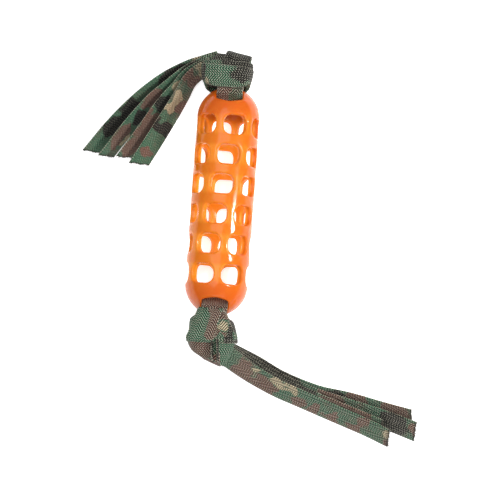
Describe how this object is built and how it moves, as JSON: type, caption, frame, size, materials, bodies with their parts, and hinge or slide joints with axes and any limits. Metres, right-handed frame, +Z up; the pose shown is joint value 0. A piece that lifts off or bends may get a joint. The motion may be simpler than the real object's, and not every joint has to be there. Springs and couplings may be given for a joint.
{
  "type": "training bumper",
  "caption": "Perforated hollow rubber training bumper for dogs, with knotted camouflage webbing tails looped through a slot in each domed end.",
  "frame": {"origin": "where the rubber body touches the surface it lies on, under the middle of the body: the mount floor_rest", "axes": "+Y along the rubber body towards the head end, whose tails fan out; +Z up from the surface it lies on; +X to the side that the foot end's tails run to"},
  "size_m": [0.3562, 0.3877, 0.063],
  "materials": {
    "orange_rubber": "clear orange thermoplastic rubber, moulded smooth and glossy",
    "camo_webbing": "herringbone woven nylon webbing, printed in green, brown, tan and black woodland camouflage"
  },
  "bodies": {
    "bumper_body": {"rubber_body": "orange_rubber", "head_loop_inner": "camo_webbing", "head_loop_outer": "camo_webbing", "foot_loop_inner": "camo_webbing", "foot_loop_outer": "camo_webbing"},
    "head_webbing": {"head_knot": "camo_webbing", "head_tail_1": "camo_webbing", "head_tail_2": "camo_webbing", "head_tail_3": "camo_webbing", "head_tail_4": "camo_webbing"},
    "foot_webbing": {"foot_knot": "camo_webbing", "foot_tail_1": "camo_webbing", "foot_tail_2": "camo_webbing", "foot_tail_3": "camo_webbing", "foot_tail_4": "camo_webbing"}
  },
  "joints": [
    {"name": "head_knot_swing", "type": "hinge", "parent": "bumper_body", "child": "head_webbing", "pos_m": [0, 0.0835, 0.0315], "axis": [1, 0, 0], "range_deg": [-30, 30]},
    {"name": "foot_knot_swing", "type": "hinge", "parent": "bumper_body", "child": "foot_webbing", "pos_m": [0, -0.0835, 0.0315], "axis": [1, 0, 0], "range_deg": [-30, 30]}
  ]
}
